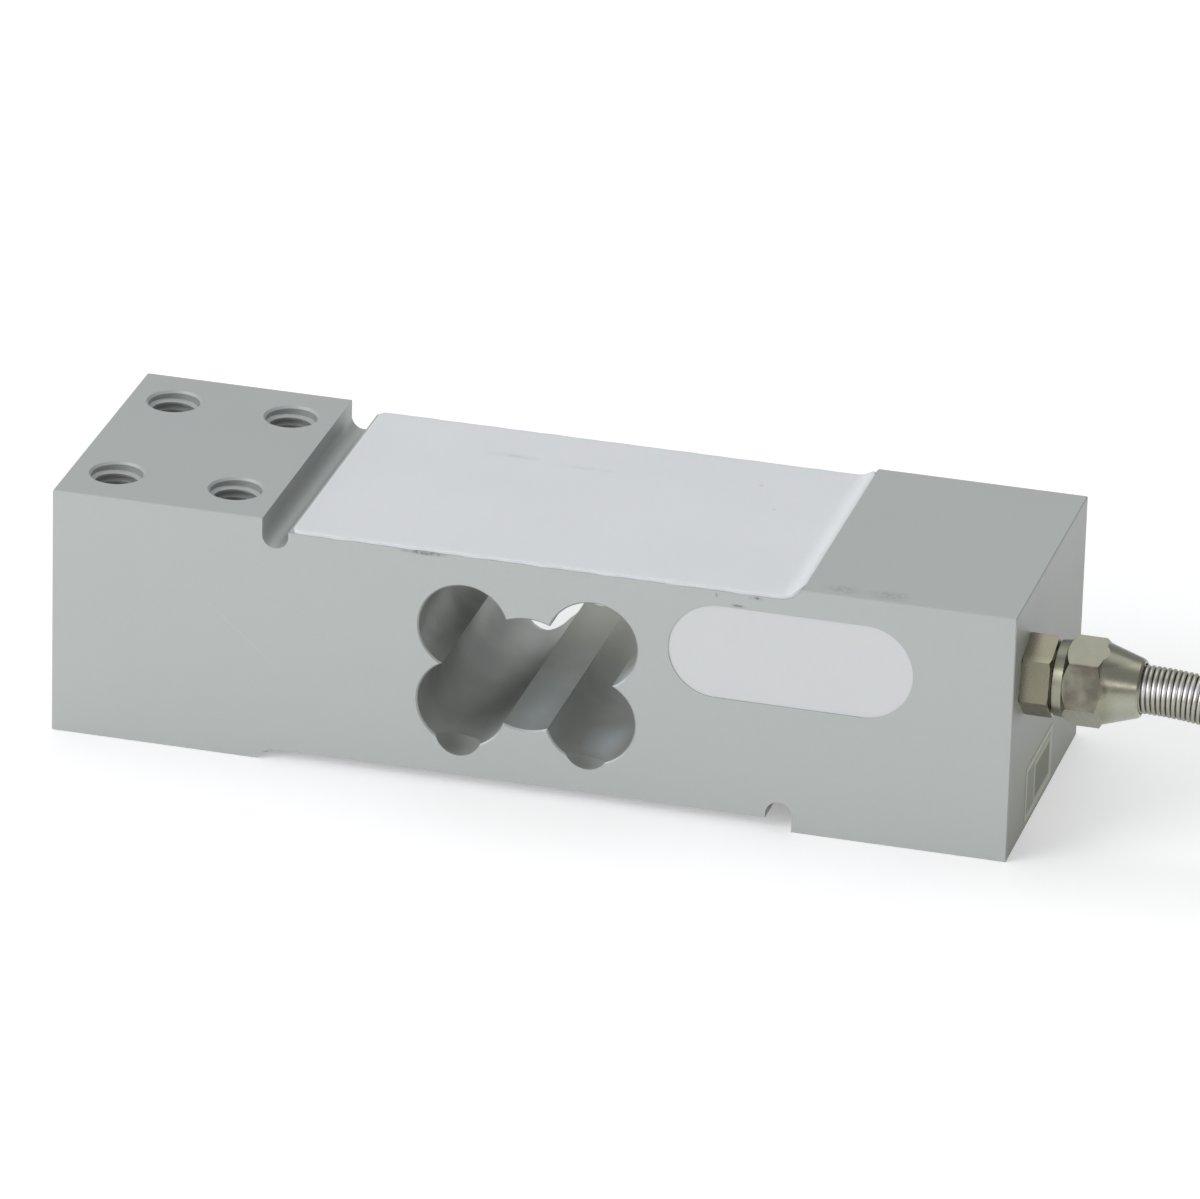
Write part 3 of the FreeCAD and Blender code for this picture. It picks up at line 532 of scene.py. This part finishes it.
# Painted shade: the end face darker towards the bottom
painted_end_shade_mask = product(tree, band(tree, split.outputs["X"], 0.07490, 0.07499),
                   band(tree, split.outputs["Z"], 0.045, 0.000))
colour = lay(tree, colour, end_painted_shade, product(tree, painted_end_shade_mask, 0.62))
relief = add(tree, "ShaderNodeBump", Height=grain.outputs[0], Strength=0.35, Distance=0.00003)
gloss = add(tree, "ShaderNodeMapRange", Value=cloud.outputs[0], To_Min=0.46, To_Max=0.56)
shader = add(tree, "ShaderNodeBsdfPrincipled", Base_Color=colour, Metallic=0.6,
             Roughness=gloss.outputs[0], Normal=relief.outputs[0])
add(tree, "ShaderNodeOutputMaterial", Surface=shader.outputs[0])
dress("beam", blasted)

# ---------------------------------------------------------------- threads
# The M8 coarse threads cut in the eight mounting holes, 1.25 mm pitch: in each a
# ridge that winds down the wall from the mouth to the end of the tap's run.
thread_pitch = 0.00125
thread_root = 0.00403
thread_crest = 0.00341
thread_crest_flat = 0.00031
thread_base = 0.00109
thread_turns = 11
thread_top_gap = 0.00035
hole_from_end = 0.0073
hole_spacing = (0.0189, 0.0292)
beam_low, beam_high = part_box("beam")

bpy.ops.mesh.primitive_plane_add(size=1)
ridge = bpy.context.object
ridge.name = "thread_top_1"
bpy.ops.object.mode_set(mode="EDIT")
form = bmesh.from_edit_mesh(ridge.data)
bmesh.ops.delete(form, geom=list(form.faces), context="FACES_ONLY")
for corner in form.verts:
    outer = corner.co.x > 0
    half = (thread_base if outer else thread_crest_flat) / 2
    corner.co = (thread_root if outer else thread_crest, 0, half if corner.co.y > 0 else -half)
bmesh.update_edit_mesh(ridge.data)
bpy.ops.object.mode_set(mode="OBJECT")
screw = ridge.modifiers.new("winding", "SCREW")
screw.axis = "Z"
screw.screw_offset = thread_pitch
screw.iterations = thread_turns
screw.steps = 36
screw.render_steps = 36
screw.use_merge_vertices = False
bpy.ops.object.modifier_apply(modifier="winding")
bpy.ops.object.mode_set(mode="EDIT")
bpy.ops.mesh.select_all(action="SELECT")
bpy.ops.mesh.fill_holes(sides=4)
bpy.ops.mesh.select_all(action="SELECT")
bpy.ops.mesh.normals_make_consistent(inside=False)
bpy.ops.object.mode_set(mode="OBJECT")
bpy.ops.object.shade_smooth_by_angle(angle=math.radians(25))
ridge.select_set(False)
ridge_form = ridge.data.copy()
ridge_drop = thread_turns * thread_pitch + thread_base / 2
for level, half_turn in (("top", 0), ("underside", math.pi)):
    for index in range(4):
        row, side_of = divmod(index, 2)
        hole = Vector((beam_low.x + hole_from_end + row * hole_spacing[0],
                       (side_of - 0.5) * hole_spacing[1], beam_high.z - thread_top_gap - ridge_drop))
        turned_over = (Matrix.Translation((0, 0, (beam_low.z + beam_high.z) / 2))
                       @ Matrix.Rotation(half_turn, 4, "Y")
                       @ Matrix.Translation((0, 0, -(beam_low.z + beam_high.z) / 2)))
        if level == "top" and index == 0:
            piece = ridge
        else:
            piece = bpy.data.objects.new("thread_%s_%d" % (level, index + 1), ridge_form.copy())
            bpy.context.scene.collection.objects.link(piece)
        piece.data.transform(turned_over @ Matrix.Translation(hole))
        piece.data.materials.append(blasted)
        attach(piece, "root")
bpy.data.meshes.remove(ridge_form)

# ---------------------------------------------------------------- silicone over the gauges
# White silicone spread in the shallow recess over the gauges, drawn up the run-out at
# one end. Its surface is level with soft edges that waver a little. The underside has
# the same, half a turn round and a little narrower.
coat_low, coat_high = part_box("silicone_top")
coat_thickness = 0.00055
coat_level = coat_low.z + coat_thickness
run_radius = 0.0040
run_corner = 0.0022
plain_corner = 0.0008        # at the end with no run-out
run_end = coat_high.x
run_start = run_end - math.sqrt(run_radius ** 2 - (run_radius - (coat_high.z - coat_low.z)) ** 2)
edge_waver = 0.00008
waver_quick = 900            # radians a metre
waver_slow = 310
coat_edge = 0.00022
coat_creep = 0.00014         # towards the beam's faces, past the plain form
coat_bed = 0.00006           # how far it fills the blasted metal's skin
coat_columns = 160
coat_rows = 44
underside_share = 0.948      # the coat below stops short of the faces
stain_tint = (0.36, 0.33, 0.29)
coat_stains = (((-0.0130, 0.0138, 0.0386), (0.0050, 0.0012, 0.0010), 0.30),
               ((-0.0010, 0.0128, 0.0386), (0.0055, 0.0010, 0.0010), 0.22),
               ((0.0260, 0.0150, 0.0386), (0.0005, 0.0006, 0.0010), 0.55),
               ((0.0301, 0.0068, 0.0386), (0.0006, 0.0005, 0.0010), 0.45))


def silicone_finish(name, dark, light, stains=()):
    """White silicone, a little uneven, with faint stains from handling."""
    material, tree = node_tree(name)
    place = add(tree, "ShaderNodeTexCoord").outputs["Object"]
    mottle = add(tree, "ShaderNodeTexNoise", Vector=place, Scale=70.0, Detail=3.0)
    colour = lay(tree, (*dark, 1), light, mottle.outputs[0])
    blots = add(tree, "ShaderNodeTexNoise", Vector=place, Scale=420.0, Detail=4.0)
    for centre, half_sizes, strength in stains:
        mark = product(tree, spot(tree, place, centre, half_sizes, fade=0.9),
                       band(tree, blots.outputs[0], 0.30, 0.60))
        colour = lay(tree, colour, stain_tint, product(tree, mark, strength))
    ripple = add(tree, "ShaderNodeTexNoise", Vector=place, Scale=160.0, Detail=2.0)
    relief = add(tree, "ShaderNodeBump", Height=ripple.outputs[0], Strength=0.12, Distance=0.0002)
    gloss = add(tree, "ShaderNodeMapRange", Value=mottle.outputs[0], To_Min=0.46, To_Max=0.60)
    shader = add(tree, "ShaderNodeBsdfPrincipled", Base_Color=colour, Roughness=gloss.outputs[0],
                 Subsurface_Weight=0.15, Subsurface_Scale=0.0008, Normal=relief.outputs[0])
    add(tree, "ShaderNodeOutputMaterial", Surface=shader.outputs[0])
    return material


silicone = silicone_finish("spread_silicone", (0.671, 0.679, 0.696), (0.707, 0.713, 0.728), coat_stains)
bpy.ops.mesh.primitive_grid_add(x_subdivisions=coat_columns, y_subdivisions=coat_rows, size=2)
coat = bpy.context.object
coat.name = "silicone_coat_top"
coat_half = (coat_high.y - coat_low.y) / 2 + coat_creep
for vertex in coat.data.vertices:
    x = coat_low.x + (vertex.co.x + 1) / 2 * (run_end - coat_low.x)
    from_end = min(x - coat_low.x, run_end - x)
    corner = run_corner if x > 0 else plain_corner
    pinch = corner - math.sqrt(max(corner ** 2 - max(corner - from_end, 0) ** 2, 0))
    waver = edge_waver * math.sin(x * waver_quick) * math.sin(x * waver_slow + 1)
    y = vertex.co.y * (coat_half - pinch + waver)
    bend = run_radius - coat_thickness
    climb = bend - math.sqrt(max(bend ** 2 - max(x - run_start, 0) ** 2, 0))
    vertex.co = (x, y, min(coat_level + climb, coat_high.z))
skin_vertices = len(coat.data.vertices)
wall = coat.modifiers.new("thickness", "SOLIDIFY")
wall.thickness = coat_thickness
wall.offset = -1
bpy.ops.object.modifier_apply(modifier="thickness")
for vertex in coat.data.vertices[skin_vertices:]:
    along_run = min(max(vertex.co.x - run_start, 0), run_end - run_start)
    vertex.co.z = coat_low.z + run_radius - math.sqrt(run_radius ** 2 - along_run ** 2) - coat_bed
soft = coat.modifiers.new("soft_edge", "BEVEL")
soft.width = coat_edge
soft.segments = 3
soft.limit_method = "ANGLE"
soft.angle_limit = math.radians(50)
bpy.ops.object.modifier_apply(modifier="soft_edge")
bpy.ops.object.shade_smooth_by_angle(angle=math.radians(60))
coat.select_set(False)
under = bpy.data.objects.new("silicone_coat_underside", coat.data.copy())
bpy.context.scene.collection.objects.link(under)
under.data.transform(Matrix.Translation((0, 0, beam_high.z)) @ Matrix.Rotation(math.pi, 4, "Y")
                     @ Matrix.Diagonal((1, underside_share, 1, 1)))
for piece, name in ((coat, "silicone_top"), (under, "silicone_underside")):
    piece.data.materials.append(silicone)
    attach(piece, "root")
    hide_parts(name)

# ---------------------------------------------------------------- silicone in the pocket
# The same silicone poured into the wiring pocket to just under the front face. It
# creeps up the walls, so the rim is soft and the middle sits a hair lower.
fill_low, fill_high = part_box("silicone_pocket")
fill_radius = (fill_high.z - fill_low.z) / 2
fill_half = (fill_high.x - fill_low.x) / 2 - fill_radius
fill_middle = (fill_low + fill_high) / 2
fill_depth = fill_high.y - fill_low.y
fill_rim = 0.0005
fill_rings = ((0.0006, 0), (0.0012, 0.00006), (0.0022, 0.00004))     # each ring's width and drop
bpy.ops.mesh.primitive_circle_add(vertices=96, radius=fill_radius, fill_type="NGON",
                                  location=(fill_middle.x, fill_high.y, fill_middle.z),
                                  rotation=(math.pi / 2, 0, 0))
fill = bpy.context.object
fill.name = "silicone_fill"
bpy.ops.object.transform_apply(location=True, rotation=True, scale=True)
bpy.ops.object.mode_set(mode="EDIT")
form = bmesh.from_edit_mesh(fill.data)
for vertex in form.verts:
    if abs(vertex.co.x - fill_middle.x) > 0.00001:
        vertex.co.x += math.copysign(fill_half, vertex.co.x - fill_middle.x)
bmesh.update_edit_mesh(fill.data)
bpy.ops.mesh.select_all(action="SELECT")
bpy.ops.mesh.extrude_region_move(TRANSFORM_OT_translate={"value": (0, -fill_depth, 0)})
for ring_width, drop in fill_rings:
    bpy.ops.mesh.inset(thickness=ring_width, depth=-drop)
bpy.ops.mesh.select_all(action="SELECT")
bpy.ops.mesh.normals_make_consistent(inside=False)
bpy.ops.mesh.select_all(action="DESELECT")
form = bmesh.from_edit_mesh(fill.data)
for edge in form.edges:
    rim = all(abs(v.co.y - fill_low.y) < 0.00001 for v in edge.verts)
    outer = len(edge.link_faces) == 2 and abs(edge.link_faces[0].normal.dot(edge.link_faces[1].normal)) < 0.1
    edge.select = rim and outer
bmesh.update_edit_mesh(fill.data)
bpy.ops.mesh.bevel(offset=fill_rim, segments=5, affect="EDGES")
bpy.ops.object.mode_set(mode="OBJECT")
bpy.ops.object.shade_smooth_by_angle(angle=math.radians(50))
fill.select_set(False)
# The same silicone with darker shades than the coat: painted shade
fill.data.materials.append(silicone_finish("poured_silicone_shaded", (0.636, 0.638, 0.648), (0.670, 0.671, 0.677)))
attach(fill, "root")
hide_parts("silicone_pocket")

# ---------------------------------------------------------------- gauges and wiring
# Under the silicone: foil gauges on amber film, copper tabs, enamelled jumpers, and in
# the pocket a green board with solder pads and wound trim resistors.
film = plain_finish("gauge_film", (0.42, 0.20, 0.05), (0.55, 0.30, 0.09), 900.0, Roughness=0.35)
copper = plain_finish("copper_tab", (0.62, 0.28, 0.14), (0.75, 0.38, 0.20), 700.0,
                      Metallic=1.0, Roughness=0.35)
enamel = plain_finish("enamelled_wire", (0.28, 0.07, 0.02), (0.40, 0.12, 0.04), 900.0, Roughness=0.30)
laminate = plain_finish("board_laminate", (0.016, 0.10, 0.030), (0.026, 0.15, 0.045), 500.0, Roughness=0.45)
solder = plain_finish("solder", (0.50, 0.50, 0.50), (0.68, 0.68, 0.67), 900.0,
                      Metallic=1.0, Roughness=0.28)
wound = plain_finish("resistor_body", (0.10, 0.045, 0.02), (0.17, 0.075, 0.03), 1200.0, Roughness=0.40)
for level in ("top", "underside"):
    for side_name in ("left", "right"):
        dress("strain_gauge_%s_%s" % (level, side_name), film)
    dress("solder_tabs_" + level, copper)
    dress("jumper_wires_" + level, enamel)
dress("terminal_board", laminate)
dress("solder_pads", solder)
dress("trim_resistors", wound)

# ---------------------------------------------------------------- gland
# Nickel-plated brass: a body screwed into the end face and a clamping nut on it, both
# with painted shade on the top flats and marked by spanners. A rubber ring seals the thread and a
# grommet grips the cable.
nickel_dark = (0.270, 0.262, 0.196)
nickel_light = (0.335, 0.330, 0.266)
# painted shade for the top flats
top_painted_shade = (0.180, 0.178, 0.148)
body_brown = (0.200, 0.172, 0.110)
# painted reflection for the nose's lower side
nose_painted_light = (0.420, 0.430, 0.360)
tarnish_brown = (0.150, 0.125, 0.100)
dent_tint = (0.400, 0.365, 0.320)
gland_axis = Vector(cable_route[0])
flat_facing = Vector((0, -0.973, 0.232))
flat_off_axis = 0.0058
plating, tree = node_tree("nickel_brass")
place = add(tree, "ShaderNodeTexCoord").outputs["Object"]
wear = add(tree, "ShaderNodeTexNoise", Vector=place, Scale=420.0, Detail=5.0)
split = add(tree, "ShaderNodeSeparateXYZ", Vector=place)
cloud = add(tree, "ShaderNodeTexNoise", Vector=place, Scale=140.0, Detail=3.0)
colour = lay(tree, (*nickel_dark, 1), nickel_light, cloud.outputs[0])

# The top flats get painted shade, the body is browner than the nut, and the nose gets a painted reflection,
# lighter below
painted_top_shade_mask = product(tree, band(tree, split.outputs["Z"], 0.0314, 0.0318), 0.60)
colour = lay(tree, colour, top_painted_shade, painted_top_shade_mask)
body_side = product(tree, band(tree, split.outputs["X"], 0.0803, 0.0800), 0.40)
colour = lay(tree, colour, body_brown, body_side)
# Painted reflection: the nose lighter below
painted_nose_light_mask = product(tree, band(tree, split.outputs["X"], 0.0880, 0.0900),
                     band(tree, split.outputs["Z"], 0.0285, 0.0265))
colour = lay(tree, colour, nose_painted_light, product(tree, painted_nose_light_mask, 0.65))

# The nut's front flat, found by how far it stands off the axis, is tarnished and dented
lean = add(tree, "ShaderNodeVectorMath", operation="DOT_PRODUCT")
tree.links.new(place, lean.inputs[0])
lean.inputs[1].default_value = flat_facing
flat_at = gland_axis.dot(flat_facing) + flat_off_axis
flat = product(tree, band(tree, lean.outputs["Value"], flat_at - 0.0001, flat_at + 0.0001),
               band(tree, split.outputs["X"], 0.0815, 0.0821))
tarnish = product(tree, flat, band(tree, wear.outputs[0], 0.30, 0.60))
colour = lay(tree, colour, tarnish_brown, product(tree, tarnish, 0.75))
dent = product(tree, flat, spot(tree, place, (0.0846, -0.0205, 0.0272), (0.0012, 0.0020, 0.0012), fade=0.9))
colour = lay(tree, colour, dent_tint, product(tree, dent, 0.6))
gloss = add(tree, "ShaderNodeMapRange", Value=wear.outputs[0], To_Min=0.20, To_Max=0.36)
relief = add(tree, "ShaderNodeBump", Height=wear.outputs[0], Strength=0.15, Distance=0.00004)
shader = add(tree, "ShaderNodeBsdfPrincipled", Base_Color=colour, Metallic=1.0,
             Roughness=gloss.outputs[0], Normal=relief.outputs[0])
add(tree, "ShaderNodeOutputMaterial", Surface=shader.outputs[0])
for name in ("gland_body", "gland_nut", "gland_clamp_ring"):
    dress(name, plating)
rubber = plain_finish("black_rubber", (0.010, 0.010, 0.010), (0.022, 0.022, 0.022), 800.0, Roughness=0.70)
dress("gland_seal", rubber)
dress("gland_grommet", rubber)

# ---------------------------------------------------------------- end label
# A bare pale foil label on the end face under the gland, with a printed border and a
# plain field, and nothing written on it.
label_outer = ((-0.0122, 0.0011), (0.0056, 0.0101))
label_field = ((-0.0062, 0.0020), (0.0044, 0.0084))
label_thickness = 0.00006
label_corner = 0.0005
label_border = 0.0009
label_soft = 0.0002          # how soft the printed edges are
foil_dark = (0.430, 0.440, 0.365)
foil_light = (0.500, 0.510, 0.430)
border_print = (0.260, 0.268, 0.222)
field_rim = (0.450, 0.455, 0.375)
field_print = (0.150, 0.155, 0.115)
(y_low, z_low), (y_high, z_high) = label_outer
bpy.ops.mesh.primitive_cube_add(size=1, location=(beam_high.x + label_thickness / 2, (y_low + y_high) / 2,
                                                  (z_low + z_high) / 2),
                                scale=(label_thickness, y_high - y_low, z_high - z_low))
label = bpy.context.object
label.name = "end_label"
bpy.ops.object.transform_apply(location=True, rotation=True, scale=True)
bpy.ops.object.mode_set(mode="EDIT")
bpy.ops.mesh.select_all(action="DESELECT")
form = bmesh.from_edit_mesh(label.data)
for edge in form.edges:
    a, b = edge.verts
    edge.select = abs(a.co.x - b.co.x) > label_thickness / 2
bmesh.update_edit_mesh(label.data)
bpy.ops.mesh.bevel(offset=label_corner, segments=4, affect="EDGES")
bpy.ops.object.mode_set(mode="OBJECT")
label.select_set(False)
foil, tree = node_tree("foil_label")
place = add(tree, "ShaderNodeTexCoord").outputs["Object"]
split = add(tree, "ShaderNodeSeparateXYZ", Vector=place)
faded = add(tree, "ShaderNodeTexNoise", Vector=place, Scale=500.0, Detail=3.0)


def frame_mask(corners, inset):
    """1 inside a rectangle of the end face that is smaller all round by the inset."""
    sides = []
    for axis, low, high in zip("YZ", *corners):
        sides.append(band(tree, split.outputs[axis], low + inset, low + inset + label_soft))
        sides.append(band(tree, split.outputs[axis], high - inset, high - inset - label_soft))
    across = product(tree, sides[0], sides[1])
    upright = product(tree, sides[2], sides[3])
    return product(tree, across, upright)


colour = lay(tree, (*foil_dark, 1), foil_light, faded.outputs[0])
colour = lay(tree, colour, border_print, frame_mask(label_outer, label_border))
rim = product(tree, frame_mask(label_field, -label_border / 2), 0.8)
colour = lay(tree, colour, field_rim, rim)
field = product(tree, frame_mask(label_field, label_border / 2), 0.9)
colour = lay(tree, colour, field_print, field)
shader = add(tree, "ShaderNodeBsdfPrincipled", Base_Color=colour, Metallic=0.3, Roughness=0.5)
add(tree, "ShaderNodeOutputMaterial", Surface=shader.outputs[0])
label.data.materials.append(foil)
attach(label, "root")
